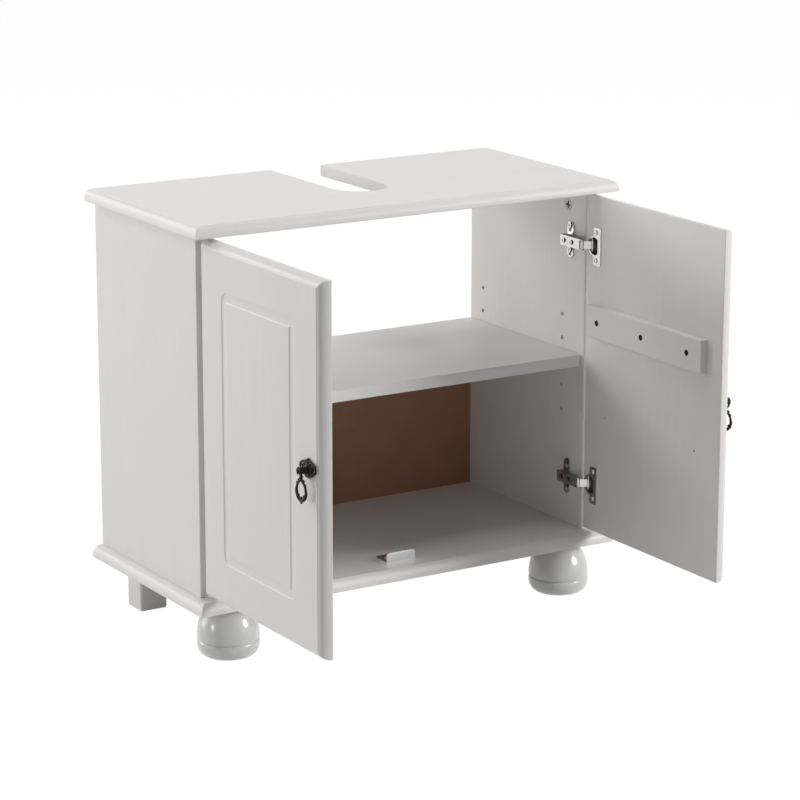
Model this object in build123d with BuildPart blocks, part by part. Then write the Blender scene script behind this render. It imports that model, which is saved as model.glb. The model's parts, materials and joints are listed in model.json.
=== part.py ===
from build123d import *
import os
from math import asin, atan2, degrees, sqrt

# Small base cabinet for under a basin, with two doors on concealed cup hinges.
# Frame: +X to the right, +Y to the wall, +Z up. The origin is on the floor, in the middle of
# the outline that the cabinet has with both doors open at a right angle. Sizes are millimetres.
# Paired pieces are modelled on the right and mirrored to the left.

os.makedirs("parts", exist_ok=True)

# Carcass
carcass_width = 588
side_height = 456
side_depth = 270
panel = 16
board = 15
side_overhang = 15
front_overhang = 30
back_thickness = 3
back_inset = 3
back_lap = 10
edge_round = 0.8
nail_rows = 5
nail_margin = 12
nails_along_bottom = 4

# Moulded edges of the top, the bottom and the doors: a quirk, then a convex curve
quirk = 0.7
mould_width = 8.3
mould_foot = 1.5
mould_round = 1.0

# Waste pipe slot in the top, open to the rear
slot_width = 76
slot_reach = 199

# Holes for the shelf, on a 32 mm grid
pin_grid = 32
pin_rows = 5
first_row = 155
pin_front_setback = 50
pin_rear_setback = 30
pin_radius = 2.5
pin_hole_depth = 9
pin_length = 17
collar_radius = 3.8
shelf_row = 2

shelf_setback = 5
shelf_side_gap = 1
shelf_rear_gap = 1
shelf_round = 2

# Joints of the carcass: cam locks and dowels at the top, screws and dowels at the bottom
cam_radius = 7.5
cam_depth = 12
cam_drop = 25
cam_setback = 40
cam_bolt_radius = 3
cam_bolt_grip = 11
cam_slot_width = 2
cam_slot_depth = 3
dowel_radius = 4
dowel_in_board = 10
dowel_in_side = 20
dowel_setback = 90

# Feet: turned balls in front, blocks behind
foot_height = 68
ball_radius = 39.5
ball_base_radius = 25
ball_neck_radius = 18
ball_waist = 27
ring_waist = 16
groove_height = 22
groove_depth = 1.8
groove_width = 2.4
ball_side_inset = 44
ball_setback = 11
block = 38
block_side_inset = 46
block_rear_inset = 35
block_chamfer = 2
block_round = 2
stud_radius = 4
stud_in_board = 12
stud_in_foot = 28

# Door stop
stop_width = 43
stop_height = 12
stop_flange = 28
stop_sheet = 1.5
stop_setback = 5
stop_corner = 4
stop_screw_spacing = 24

# Doors, which stand in front of the sides when closed
door_width = 288
door_height = 449
door_low_gap = 3.5
overlay = 11.5
closed_gap = 2.0
open_inset = 0.5
groove_ring_width = 12
groove_ring_depth = 1.2
panel_hinge_margin = 56
panel_free_margin = 59
panel_low_margin = 57
panel_high_margin = 54.5

# Battens on the inner faces of the doors
batten_height = 42
batten_thickness = 10
batten_low = 268
batten_hinge_margin = 15
batten_free_margin = 30
batten_screws = 3
batten_screw_inset = 21.8
batten_screw_end = 29.2
pilot_radius = 1.5
pilot_depth = 8
pilot_height = 163
pilot_margin = 44.8
pilot_pitch = 192

# Hinges, set from the ends of the sides. A link runs from a pin in the arm to a pin in the cup.
# The arm's pin is set out from the side's inner face and front edge, and the cup's pin from the
# door's hinge edge and face.
hinge_rise = 66
hinge_drop = 70
arm_pin_inset = 9.5
arm_pin_ahead = 6
cup_pin_margin = 7.9
cup_pin_depth = 2.0
hinge_pin_radius = 1.0
plate_setback = 32
plate_length = 48
plate_width = 14
plate_thickness = 2
plate_slot_width = 5
plate_slot_length = 11
plate_slot_pitch = 32
plate_screw_lift = 3
spine_height = 6
spine_half_width = 5.4
spine_front = 10
spine_rear = 40
arm_sheet = 1.2
arm_lift = 11.5
arm_half_width = 7.0
arm_front = -2.0
arm_rear = 41
arm_skirt_gap = 1.0
arm_skirt_front = 16
arm_nose_radius = 2.4
clamp_screw_setback = 33
adjust_screw_setback = 16
arm_slot_length = 10
link_half_width = 5.3
link_thickness = 2.0
link_knuckle_radius = 2.2
cup_margin = 16.5
cup_radius = 13
cup_wall = 1.2
cup_depth = 10.5
cup_floor = 0.8
flange_thickness = 1.2
flange_disc_radius = 13.8
flange_lip = 23.8
flange_start = 15.2
flange_end = 30.2
flange_half_length = 25
flange_corner = 2
flange_opening_radius = 11.5
notch_depth = 5
notch_gap = 0.4
cup_pin_half_length = 8.7
cup_screw_margin = 20
cup_screw_pitch = 36.8

# Drop handles, one near the free edge of each door
handle_free_margin = 24.5
handle_height = 229
escutcheon_thickness = 3
escutcheon_half_width = 19
escutcheon_band = 6
escutcheon_rise = 12.5
escutcheon_fall = 10
pierce_radius = 2.2
pierce_offset = 13
post_radius = 4.2
post_reach = 15
post_foot_radius = 6.5
post_foot_height = 2
fork_start = 8
fork_top = 1.6
eye_radius = 2.7
eye_thickness = 3
drop_pin_radius = 1.0
drop_pin_reach = 11.3
drop_pin_drop = 1.5
ring_half_width = 12.2
ring_half_height = 11.5
ring_centre = 22.5
ring_rod = 3.2
tip_radius = 2
bead_radius = 2
bead_offset = 3.2
handle_stud_radius = 2
handle_stud_in_door = 12
handle_stud_in_post = 3.8

# Clearances: fixed fits, running fits, and the space above a bore's end
fit = 0.05
running_fit = 0.06
eye_gap = 0.3
bore_spare = 0.3

# Screws: head radius, head height, shank radius, length under the head or the face
hinge_screw = dict(head_radius=4.0, head_height=1.5, shank_radius=2.4, length=14)
clamp_screw = dict(head_radius=3.2, head_height=1.5, shank_radius=1.9, length=8.5)
cup_screw = dict(head_radius=3.2, head_height=1.5, shank_radius=1.9, length=12)
stop_screw = dict(head_radius=3.4, head_height=1.4, shank_radius=1.9, length=11)
batten_screw = dict(head_radius=3.9, head_height=2.6, shank_radius=1.9, length=22, sunk=True)
bottom_screw = dict(head_radius=4.8, head_height=3.0, shank_radius=2.6, length=50, sunk=True)
back_nail = dict(head_radius=1.6, head_height=0.8, shank_radius=0.8, length=18, sunk=True)

# --- Places that follow from the sizes above

# Hinge geometry: the link's length from the closed door, then the open door from the link
closed_run = arm_pin_inset + overlay - cup_pin_margin
closed_fall = closed_gap + cup_pin_depth - arm_pin_ahead
link_length = sqrt(closed_run**2 + closed_fall**2)
open_run = arm_pin_inset + cup_pin_depth - open_inset
open_fall = sqrt(link_length**2 - open_run**2)
open_gap = arm_pin_ahead + open_fall - cup_pin_margin

deck_z = foot_height + board
top_z = deck_z + side_height
inner_x = carcass_width / 2 - panel
joint_x = inner_x + panel / 2
front_y = ((open_gap + door_width) - (side_depth + back_thickness)) / 2
rear_y = front_y + side_depth
shelf_underside = deck_z + first_row + shelf_row * pin_grid + pin_radius
cam_ys = (front_y + cam_setback, rear_y - cam_setback)
dowel_ys = (front_y + dowel_setback, rear_y - dowel_setback)
pin_ys = (pin_front_setback, side_depth - pin_rear_setback)
hinge_heights = {"lower": hinge_rise, "upper": side_height - hinge_drop}

door_inner_x = inner_x - open_inset
door_outer_x = door_inner_x + panel
hinge_edge_y = front_y - open_gap
door_low = deck_z + door_low_gap
handle_y = hinge_edge_y - door_width + handle_free_margin

arm_pin = Vector(-arm_pin_inset, -arm_pin_ahead)
cup_pin = arm_pin + Vector(open_run, -open_fall)

# Faces that carry fittings. On the side's inner face X runs to the rear, Y up and Z into the
# side. On the door's inner face X runs from the hinge edge, Y up and Z out of the door. On the
# door's front X runs to the hinge edge, Y up and Z out of the door, from the handle's centre.
side_face = Plane(origin=(inner_x, front_y, deck_z), x_dir=(0, 1, 0), z_dir=(1, 0, 0))
door_face = Plane(origin=(door_inner_x, hinge_edge_y, deck_z), x_dir=(0, -1, 0), z_dir=(-1, 0, 0))
handle_face = Plane(
    origin=(door_outer_x, handle_y, deck_z + handle_height), x_dir=(0, 1, 0), z_dir=(1, 0, 0)
)


def save(piece, name):
    """Label a finished piece and write it."""
    piece.label = name
    export_step(piece, f"parts/{name}.step")


def save_pair(piece, stem):
    """Write a right-hand piece and its mirror image."""
    save(piece, f"{stem}_right")
    save(mirror(piece, about=Plane.YZ), f"{stem}_left")


def on_face(face, across, up, lift=0, outward=True):
    """A plane on a face, its Z out of the face or, if not outward, into it."""
    origin = face.from_local_coords(Vector(across, up, lift))
    z_dir = face.z_dir if outward else -face.z_dir
    return Plane(origin=origin, x_dir=(0, 0, 1), z_dir=z_dir)


def screw(head_radius, head_height, shank_radius, length, sunk=False, spare=0):
    """A cross-head screw along Z with its tip down; spare above 0 gives its hole instead."""
    head = head_radius + spare
    shank = shank_radius + spare
    tip = -length - spare
    crown = 0 if sunk else head_height
    outline = [(0, tip), (shank / 2, tip), (shank, tip + shank)]
    outline += [(shank, -head_height), (head, 0)] if sunk else [(shank, 0), (head, 0), (head, crown)]
    with BuildPart() as body:
        with BuildSketch(Plane.XZ):
            with BuildLine():
                Polyline(*outline, (0, crown), close=True)
            make_face()
        revolve(axis=Axis.Z)
        if not spare:
            with BuildSketch(Plane.XY.offset(crown)):
                Rectangle(head_radius * 1.2, head_radius / 4)
                Rectangle(head_radius / 4, head_radius * 1.2)
            extrude(amount=-head_height * 0.6, mode=Mode.SUBTRACT)
    return body.part


def group_of(piece, places):
    """The same piece at each of several planes, as one group of solids."""
    with BuildPart() as group:
        with Locations(*places):
            add(piece)
    return group.part


def cut_screws(sizes, places):
    """Cut the holes of the same screws at the same planes from the part being built."""
    with Locations(*places):
        add(screw(**sizes, spare=fit), mode=Mode.SUBTRACT)


def bore(plane, points, radius, depth):
    """Drill round holes into the part being built, along the plane's Z or, below 0, against it."""
    with BuildSketch(plane) as holes:
        with Locations(*points):
            Circle(radius)
    extrude(holes.sketch, amount=depth, mode=Mode.SUBTRACT)


def moulded_section(low, high, thickness, low_moulded=True):
    """A board seen from its end: its plain face at height 0, the ends moulded above it."""
    step = thickness - quirk
    with BuildSketch() as section:
        with Locations(((low + high) / 2, thickness / 2)):
            Rectangle(high - low, thickness)
        corners = section.vertices().group_by(Axis.Y)[0].sort_by(Axis.X)
        fillet(corners if low_moulded else corners[-1], mould_round)
        ends = ((high, -1, 0), (low, 1, 90)) if low_moulded else ((high, -1, 0),)
        for end, inward, start in ends:
            crest = end + inward * mould_width
            with BuildLine():
                EllipticalCenterArc(
                    (crest, mould_foot), mould_width, step - mould_foot, start, arc_size=90
                )
                Polyline((crest, step), (crest, thickness), (end, thickness), (end, mould_foot))
            make_face(mode=Mode.SUBTRACT)
    return section.sketch


def moulded_board(z):
    """A board with its front and side edges moulded and its rear edge square."""
    half = carcass_width / 2 + side_overhang
    depth = side_depth + front_overhang
    with BuildPart() as blank:
        with BuildSketch(Plane(origin=(0, rear_y, z), x_dir=(-1, 0, 0), z_dir=(0, 1, 0))):
            add(moulded_section(-half, half, board))
        extrude(amount=-depth)
        with BuildSketch(Plane(origin=(0, rear_y, z), x_dir=(0, -1, 0), z_dir=(-1, 0, 0))):
            add(moulded_section(0, depth, board, low_moulded=False))
        extrude(amount=half, both=True, mode=Mode.INTERSECT)
    return blank.part


both_sides = (-1, 1)
ball_points = [(s * (carcass_width / 2 - ball_side_inset), front_y + ball_setback) for s in both_sides]
block_points = [
    (s * (carcass_width / 2 - block_side_inset), rear_y - block_rear_inset) for s in both_sides
]
foot_points = ball_points + block_points
cam_points = [(s * joint_x, y) for s in both_sides for y in cam_ys]
dowel_points = [(s * joint_x, y) for s in both_sides for y in dowel_ys]
underside = Plane.XY.offset(foot_height)
deck = Plane.XY.offset(deck_z)
underside_of_top = Plane.XY.offset(top_z)

back_half = carcass_width / 2 - back_inset
back_low = deck_z - back_lap
back_high = shelf_underside + board / 2
back_y = rear_y + back_thickness
nail_low = deck_z + nail_margin
nail_step = (back_high - nail_margin - nail_low) / (nail_rows - 1)
side_nails = [(s * joint_x, nail_low + row * nail_step) for s in both_sides for row in range(nail_rows)]
nail_span = 2 * inner_x / nails_along_bottom
bottom_nails = [
    ((index + 0.5) * nail_span - inner_x, (back_low + deck_z) / 2) for index in range(nails_along_bottom)
]
nail_places = [
    Plane(origin=(x, back_y, z), x_dir=(1, 0, 0), z_dir=(0, 1, 0)) for x, z in side_nails + bottom_nails
]

# --- Top board, with a slot for the waste pipe from its rear edge

slot_centre_y = rear_y - slot_reach + slot_width / 2
with BuildPart() as top_panel:
    add(moulded_board(top_z))
    with BuildSketch(underside_of_top):
        with Locations((0, slot_centre_y)):
            Circle(slot_width / 2)
            Rectangle(slot_width, slot_reach, align=(Align.CENTER, Align.MIN))
    extrude(amount=board, mode=Mode.SUBTRACT)
    bore(underside_of_top, cam_points, cam_bolt_radius + fit, cam_bolt_grip + bore_spare)
    bore(underside_of_top, dowel_points, dowel_radius + fit, dowel_in_board + bore_spare)
save(top_panel.part, "top_panel")

# --- Bottom board, screwed to the sides from below

bottom_screw_places = [
    Plane(origin=(x, y, foot_height), x_dir=(1, 0, 0), z_dir=(0, 0, -1)) for x, y in cam_points
]
stop_hole_y = front_y + stop_setback + stop_flange * 0.6
stop_screw_places = [
    Plane(origin=(s * stop_screw_spacing / 2, stop_hole_y, deck_z + stop_sheet)) for s in both_sides
]
with BuildPart() as bottom_panel:
    add(moulded_board(foot_height))
    bore(deck, dowel_points, dowel_radius + fit, -(dowel_in_board + bore_spare))
    bore(underside, foot_points, stud_radius + fit, stud_in_board + bore_spare)
    cut_screws(bottom_screw, bottom_screw_places)
    cut_screws(stop_screw, stop_screw_places)
    cut_screws(back_nail, nail_places)
save(bottom_panel.part, "bottom_panel")
save(group_of(screw(**bottom_screw), bottom_screw_places), "bottom_screws")

# --- Sides, with their rows of holes for the shelf

pin_points = [(y, first_row + row * pin_grid) for y in pin_ys for row in range(pin_rows)]
cam_spots = [(y - front_y, side_height - cam_drop) for y in cam_ys]
bolt_spots = [(joint_x, y) for y in cam_ys]
dowel_spots = [(joint_x, y) for y in dowel_ys]
plate_screw_places = [
    on_face(
        side_face,
        plate_setback,
        height + plate_screw_lift + s * plate_slot_pitch / 2,
        lift=-plate_thickness,
        outward=False,
    )
    for height in hinge_heights.values()
    for s in both_sides
]
with BuildPart() as side_panel:
    with BuildSketch(deck):
        with Locations((joint_x, front_y)):
            Rectangle(panel, side_depth, align=(Align.CENTER, Align.MIN))
    extrude(amount=side_height)
    fillet(side_panel.edges().filter_by(Axis.Z).group_by(Axis.Y)[0], edge_round)
    bore(side_face, pin_points, pin_radius + fit, pin_hole_depth)
    bore(side_face, cam_spots, cam_radius + fit, cam_depth + bore_spare)
    bore(underside_of_top, bolt_spots, cam_bolt_radius + fit, -cam_drop)
    bore(underside_of_top, dowel_spots, dowel_radius + fit, -(dowel_in_side + bore_spare))
    bore(deck, dowel_spots, dowel_radius + fit, dowel_in_side + bore_spare)
    cut_screws(bottom_screw, bottom_screw_places)
    cut_screws(hinge_screw, plate_screw_places)
    cut_screws(back_nail, nail_places)
save_pair(side_panel.part, "side_panel")

with BuildPart() as dowels:
    for z in (deck_z - dowel_in_board, top_z - dowel_in_side):
        with BuildSketch(Plane.XY.offset(z)):
            with Locations(*dowel_points):
                Circle(dowel_radius)
        extrude(amount=dowel_in_board + dowel_in_side)
save(dowels.part, "dowels")

# Cam locks in the sides' inner faces, each over the end of a bolt from the top board
with BuildPart() as cam_locks:
    with BuildSketch(side_face):
        with Locations(*cam_spots):
            Circle(cam_radius)
    extrude(amount=cam_depth)
    with BuildSketch(side_face):
        with Locations(*cam_spots):
            Rectangle(cam_radius * 1.3, cam_slot_width)
            Rectangle(cam_slot_width, cam_radius * 1.3)
    extrude(amount=cam_slot_depth, mode=Mode.SUBTRACT)
    bore(underside_of_top, bolt_spots, cam_bolt_radius + fit, -cam_drop)
    mirror(about=Plane.YZ)
save(cam_locks.part, "cam_locks")

with BuildPart() as cam_bolts:
    with BuildSketch(Plane.XY.offset(top_z + cam_bolt_grip)):
        with Locations(*cam_points):
            Circle(cam_bolt_radius)
    extrude(amount=-(cam_bolt_grip + cam_drop - bore_spare))
save(cam_bolts.part, "cam_bolts")

# --- Shelf on four pins

shelf_half = inner_x - shelf_side_gap
shelf_depth = side_depth - shelf_setback - shelf_rear_gap
with BuildPart() as shelf:
    with BuildSketch(Plane.XY.offset(shelf_underside)):
        with Locations((0, front_y + shelf_setback)):
            Rectangle(2 * shelf_half, shelf_depth, align=(Align.CENTER, Align.MIN))
    extrude(amount=board)
    fillet(shelf.edges().filter_by(Axis.X).group_by(Axis.Y)[0].sort_by(Axis.Z)[-1], shelf_round)
    fillet(shelf.edges().filter_by(Axis.X).group_by(Axis.Z)[0].sort_by(Axis.Y)[0], edge_round)
save(shelf.part, "shelf")

with BuildPart() as shelf_pin:
    Cylinder(pin_radius, pin_length, align=(Align.CENTER, Align.CENTER, Align.MIN))
    with Locations((0, 0, pin_hole_depth - fit)):
        Cylinder(collar_radius, shelf_side_gap - fit, align=(Align.CENTER, Align.CENTER, Align.MIN))
pin_places = [
    on_face(side_face, along, first_row + shelf_row * pin_grid, pin_hole_depth - fit, outward=False)
    for along in pin_ys
]
with BuildPart() as shelf_pins:
    add(group_of(shelf_pin.part, pin_places))
    mirror(about=Plane.YZ)
save(shelf_pins.part, "shelf_pins")

# --- Hardboard back, nailed on from the deck to halfway up the shelf

with BuildPart() as back_panel:
    with BuildSketch(Plane(origin=(0, back_y, back_low), x_dir=(1, 0, 0), z_dir=(0, -1, 0))):
        Rectangle(2 * back_half, back_high - back_low, align=(Align.CENTER, Align.MIN))
    extrude(amount=back_thickness)
    cut_screws(back_nail, nail_places)
save(back_panel.part, "back_panel")
save(group_of(screw(**back_nail), nail_places), "back_nails")

# --- Feet

upper_rise = (foot_height - ball_waist) / sqrt(1 - (ball_neck_radius / ball_radius) ** 2)
groove_low = groove_height - groove_width / 2
groove_high = groove_height + groove_width / 2


def ellipse_angle(height, centre, rise):
    """Angle on an ellipse of vertical half-axis rise at which it reaches a height."""
    return degrees(asin((height - centre) / rise))


for side, (ball_x, ball_y) in zip(("left", "right"), ball_points):
    with BuildPart() as ball_foot:
        with BuildSketch(Plane(origin=(ball_x, ball_y, 0), x_dir=(1, 0, 0), z_dir=(0, -1, 0))):
            with BuildLine():
                upper_start = ellipse_angle(groove_high, ball_waist, upper_rise)
                upper = EllipticalCenterArc(
                    (0, ball_waist),
                    ball_radius,
                    upper_rise,
                    upper_start,
                    arc_size=ellipse_angle(foot_height, ball_waist, upper_rise) - upper_start,
                )
                lower = EllipticalCenterArc(
                    (ball_base_radius, ring_waist),
                    ball_radius - ball_base_radius,
                    ring_waist,
                    -90,
                    arc_size=90 + ellipse_angle(groove_low, ring_waist, ring_waist),
                )
                Polyline(lower @ 1, (ball_radius - groove_depth, groove_height), upper @ 0)
                Polyline(upper @ 1, (0, foot_height), (0, 0), lower @ 0)
            make_face()
        revolve(axis=Axis((ball_x, ball_y, 0), (0, 0, 1)))
        bore(underside, [(ball_x, ball_y)], stud_radius + fit, -(stud_in_foot + bore_spare))
    save(ball_foot.part, f"ball_foot_{side}")

with BuildPart() as block_foot:
    with BuildSketch():
        with Locations(block_points[1]):
            Rectangle(block, block)
    extrude(amount=foot_height)
    chamfer(block_foot.edges().filter_by(Axis.Z), block_chamfer)
    fillet(block_foot.faces().sort_by(Axis.Z)[0].edges(), block_round)
    bore(underside, [block_points[1]], stud_radius + fit, -(stud_in_foot + bore_spare))
save_pair(block_foot.part, "block_foot")

with BuildPart() as foot_studs:
    with BuildSketch(Plane.XY.offset(foot_height - stud_in_foot)):
        with Locations(*foot_points):
            Circle(stud_radius)
    extrude(amount=stud_in_foot + stud_in_board)
save(foot_studs.part, "foot_studs")

# --- Door stop: an angle of sheet steel screwed to the bottom board

with BuildPart() as door_stop:
    with BuildSketch(Plane(origin=(0, front_y + stop_setback, deck_z), x_dir=(1, 0, 0), z_dir=(0, -1, 0))):
        Rectangle(stop_width, stop_height, align=(Align.CENTER, Align.MIN))
    extrude(amount=-stop_sheet)
    fillet(door_stop.edges().filter_by(Axis.Y).group_by(Axis.Z)[-1], stop_corner)
    with BuildSketch(deck):
        with Locations((0, front_y + stop_setback)):
            Rectangle(stop_width, stop_flange, align=(Align.CENTER, Align.MIN))
    extrude(amount=stop_sheet)
    fillet(door_stop.edges().filter_by(Axis.Z).group_by(Axis.Y)[-1], stop_corner)
    cut_screws(stop_screw, stop_screw_places)
save(door_stop.part, "door_stop")
save(group_of(screw(**stop_screw), stop_screw_places), "door_stop_screws")

# --- Doors, modelled open at a right angle

hinge_faces = [
    Plane(origin=door_face.from_local_coords(Vector(0, height, 0)), x_dir=(0, -1, 0), z_dir=(-1, 0, 0))
    for height in hinge_heights.values()
]
batten_length = door_width - batten_hinge_margin - batten_free_margin
batten_screw_step = (batten_length - batten_screw_inset - batten_screw_end) / (batten_screws - 1)
batten_screw_places = [
    on_face(
        door_face,
        batten_hinge_margin + batten_screw_inset + index * batten_screw_step,
        batten_low + batten_height / 2,
        lift=batten_thickness,
    )
    for index in range(batten_screws)
]
cup_screw_places = [
    on_face(face, cup_screw_margin, s * cup_screw_pitch / 2, lift=flange_thickness)
    for face in hinge_faces
    for s in both_sides
]
ring_width = door_width - panel_hinge_margin - panel_free_margin
ring_height = door_height - panel_low_margin - panel_high_margin
ring_middle = (
    panel_hinge_margin + ring_width / 2,
    door_low_gap + panel_low_margin + ring_height / 2,
)
front_face = door_face.offset(-panel)
door_corner = (door_inner_x, hinge_edge_y, door_low)
cup_spots = [(cup_margin, height) for height in hinge_heights.values()]
pilot_spots = [(pilot_margin + index * pilot_pitch, pilot_height) for index in range(2)]
with BuildPart() as door:
    with BuildSketch(Plane(origin=door_corner, x_dir=(0, -1, 0), z_dir=(0, 0, 1))):
        add(moulded_section(0, door_width, panel))
    extrude(amount=door_height)
    with BuildSketch(Plane(origin=door_corner, x_dir=(0, 0, 1), z_dir=(0, 1, 0))):
        add(moulded_section(0, door_height, panel))
    extrude(amount=-door_width, mode=Mode.INTERSECT)
    with BuildSketch(front_face):
        with Locations(ring_middle):
            RectangleRounded(ring_width, ring_height, groove_ring_width)
    extrude(amount=groove_ring_depth, taper=45, mode=Mode.SUBTRACT)
    with BuildSketch(front_face):
        with Locations(ring_middle):
            Rectangle(ring_width - 2 * groove_ring_width, ring_height - 2 * groove_ring_width)
    extrude(amount=groove_ring_depth, taper=-45)
    bore(door_face, cup_spots, cup_radius + fit, -(cup_depth + bore_spare))
    bore(door_face, pilot_spots, pilot_radius, -pilot_depth)
    bore(handle_face, [(0, 0)], handle_stud_radius + fit, -(handle_stud_in_door + bore_spare))
    cut_screws(batten_screw, batten_screw_places)
    cut_screws(cup_screw, cup_screw_places)
save_pair(door.part, "door")

with BuildPart() as door_batten:
    with BuildSketch(door_face):
        with Locations((batten_hinge_margin + batten_length / 2, batten_low + batten_height / 2)):
            Rectangle(batten_length, batten_height)
    extrude(amount=batten_thickness)
    fillet(door_batten.faces().sort_by(Axis.X)[0].edges(), edge_round)
    cut_screws(batten_screw, batten_screw_places)
save_pair(door_batten.part, "door_batten")
save_pair(group_of(screw(**batten_screw), batten_screw_places), "batten_screws")
save_pair(group_of(screw(**cup_screw), cup_screw_places), "cup_screws")

# --- Hinges

ear_skirt = -(plate_thickness + arm_skirt_gap)
arm_inner = -(arm_lift - arm_sheet)
adjust_screw_places = []
for name, height in hinge_heights.items():
    plan = Plane(origin=(inner_x, front_y, deck_z + height))
    plate_face = Plane(
        origin=side_face.from_local_coords(Vector(0, height, 0)), x_dir=(0, 1, 0), z_dir=(1, 0, 0)
    )
    arm_face = plate_face.offset(-arm_lift)
    screw_spots = [(clamp_screw_setback, 0), (adjust_screw_setback, 0)]
    adjust_here = [on_face(arm_face, *spot, outward=False) for spot in screw_spots]
    adjust_screw_places += adjust_here

    # Plate on the side, with a spine that the arm sits over
    with BuildPart() as hinge_plate:
        with BuildSketch(plate_face):
            with Locations((plate_setback, 0)):
                SlotOverall(plate_length, plate_width, rotation=90)
        extrude(amount=-plate_thickness)
        with BuildSketch(plate_face):
            with Locations(((spine_front + spine_rear) / 2, 0)):
                RectangleRounded(spine_rear - spine_front, 2 * spine_half_width, 2)
        extrude(amount=-spine_height)
        with BuildSketch(plate_face):
            with Locations((plate_setback, plate_slot_pitch / 2), (plate_setback, -plate_slot_pitch / 2)):
                SlotOverall(plate_slot_length, plate_slot_width, rotation=90)
        extrude(amount=-plate_thickness, mode=Mode.SUBTRACT)
        cut_screws(clamp_screw, adjust_here)
    save_pair(hinge_plate.part, f"hinge_plate_{name}")

    # Arm: a channel over the spine, its ears drawn to a nose around the pin
    with BuildPart() as hinge_arm:
        with BuildSketch(plan):
            with BuildLine():
                Polyline(
                    (-arm_lift, arm_rear),
                    (ear_skirt, arm_rear),
                    (ear_skirt, arm_skirt_front),
                    (-arm_pin_inset + arm_nose_radius, -arm_pin_ahead),
                    (-arm_pin_inset - arm_nose_radius, -arm_pin_ahead),
                    (-arm_lift, arm_front),
                    close=True,
                )
            make_face()
            with Locations(arm_pin):
                Circle(arm_nose_radius)
        extrude(amount=arm_half_width, both=True)
        channel = arm_half_width - arm_sheet
        with BuildSketch(plan):
            with Locations(((arm_inner + ear_skirt) / 2 + arm_sheet, (arm_rear + arm_front) / 2)):
                Rectangle(ear_skirt - arm_inner + 2 * arm_sheet, 2 * arm_rear)
            with Locations((arm_inner, arm_front)):
                Rectangle(4 * arm_nose_radius, 2 * arm_pin_ahead, align=(Align.CENTER, Align.MAX))
        extrude(amount=channel, both=True, mode=Mode.SUBTRACT)
        with BuildSketch(plan):
            with Locations(arm_pin):
                Circle(hinge_pin_radius + fit)
        extrude(amount=arm_half_width, both=True, mode=Mode.SUBTRACT)
        with BuildSketch(arm_face):
            with Locations(*screw_spots):
                SlotOverall(arm_slot_length, 2 * (clamp_screw["shank_radius"] + fit))
        extrude(amount=arm_sheet, mode=Mode.SUBTRACT)
    save_pair(hinge_arm.part, f"hinge_arm_{name}")

    # Link from the arm's pin to the cup's pin
    with BuildPart() as hinge_link:
        with BuildSketch(plan):
            with Locations(arm_pin, cup_pin):
                Circle(link_knuckle_radius)
            with Locations((arm_pin + cup_pin) / 2):
                Rectangle(link_length, link_thickness, rotation=-degrees(atan2(open_fall, open_run)))
            with Locations(arm_pin, cup_pin):
                Circle(hinge_pin_radius + running_fit, mode=Mode.SUBTRACT)
        extrude(amount=link_half_width, both=True)
    save_pair(hinge_link.part, f"hinge_link_{name}")

with BuildPart() as adjust_screws:
    add(group_of(screw(**clamp_screw), adjust_screw_places))
    mirror(about=Plane.YZ)
save(adjust_screws.part, "hinge_adjust_screws")

with BuildPart() as plate_screws:
    add(group_of(screw(**hinge_screw), plate_screw_places))
    mirror(about=Plane.YZ)
save(plate_screws.part, "hinge_plate_screws")

# Pins of the arms
with BuildPart() as arm_pins:
    for height in hinge_heights.values():
        with BuildSketch(Plane(origin=(inner_x, front_y, deck_z + height))):
            with Locations(arm_pin):
                Circle(hinge_pin_radius)
        extrude(amount=arm_half_width + fit, both=True)
    mirror(about=Plane.YZ)
save(arm_pins.part, "arm_pins")

# Cups in the doors: a pot with a screwed flange, open on the hinge side for the link
for name, face in zip(hinge_heights, hinge_faces):
    pin_line = Plane(
        origin=face.from_local_coords(Vector(cup_pin_margin, 0, -cup_pin_depth)),
        x_dir=(1, 0, 0),
        z_dir=(0, 0, 1),
    )
    with BuildPart() as hinge_cup:
        with BuildSketch(face):
            with Locations((cup_margin, 0)):
                Circle(cup_radius)
        extrude(amount=-cup_depth)
        with BuildSketch(face):
            with Locations((cup_margin, 0)):
                Circle(flange_disc_radius)
            with Locations(((flange_start + flange_end) / 2, 0)):
                RectangleRounded(flange_end - flange_start, 2 * flange_half_length, flange_corner)
        extrude(amount=flange_thickness)
        with BuildSketch(face):
            with Locations((cup_margin, 0)):
                Circle(cup_radius - cup_wall)
        extrude(amount=-(cup_depth - cup_floor), mode=Mode.SUBTRACT)
        with BuildSketch(face):
            with Locations((cup_margin, 0)):
                Circle(flange_opening_radius)
            with Locations((flange_lip, 0)):
                Rectangle(cup_radius, 2 * cup_radius, align=(Align.MIN, Align.CENTER), mode=Mode.SUBTRACT)
        extrude(amount=flange_thickness, mode=Mode.SUBTRACT)
        with BuildSketch(face.offset(flange_thickness)):
            Rectangle(cup_margin, 2 * (link_half_width + notch_gap), align=(Align.MIN, Align.CENTER))
        extrude(amount=-(flange_thickness + notch_depth), mode=Mode.SUBTRACT)
        with BuildSketch(pin_line):
            Circle(hinge_pin_radius + fit)
        extrude(amount=cup_pin_half_length + fit, both=True, mode=Mode.SUBTRACT)
        cut_screws(cup_screw, cup_screw_places)
    save_pair(hinge_cup.part, f"hinge_cup_{name}")

with BuildPart() as cup_pins:
    for height in hinge_heights.values():
        with BuildSketch(Plane(origin=(inner_x, front_y, deck_z + height))):
            with Locations(cup_pin):
                Circle(hinge_pin_radius)
        extrude(amount=cup_pin_half_length, both=True)
save_pair(cup_pins.part, "cup_pins")

# --- Drop handles

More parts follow.
